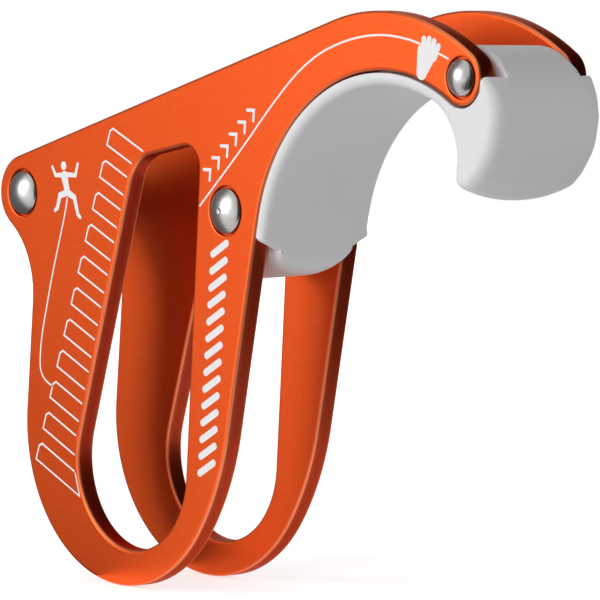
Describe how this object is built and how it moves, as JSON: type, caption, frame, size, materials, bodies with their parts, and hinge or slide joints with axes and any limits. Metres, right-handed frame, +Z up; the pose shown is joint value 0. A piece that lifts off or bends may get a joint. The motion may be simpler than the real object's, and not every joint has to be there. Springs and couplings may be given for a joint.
{
  "type": "assisted braking belay device",
  "caption": "Hook-shaped assisted braking belay device: windowed anodised side plates riveted round a pale moulded thumb grip that forms the rope channel.",
  "frame": {"origin": "centre of the bounding box, on the middle plane between the side plates", "axes": "+X along the arm to the hook and its nose, +Y from the front side plate to the rear one, +Z up from the round foot to the top edge"},
  "size_m": [0.11, 0.0224, 0.0844],
  "materials": {
    "plates": "orange anodised, satin",
    "grip": "light grey moulding, fine matt",
    "rivets": "domed and polished",
    "sleeves": "turned"
  },
  "bodies": {
    "root": {"front_side_plate": "plates", "rear_side_plate": "plates", "rope_grip": "grip", "rope_side_rivet": "rivets", "grip_rivet": "rivets", "hook_rivet": "rivets", "rope_side_sleeve": "sleeves", "grip_sleeve": "sleeves", "hook_sleeve": "sleeves"}
  },
  "joints": []
}
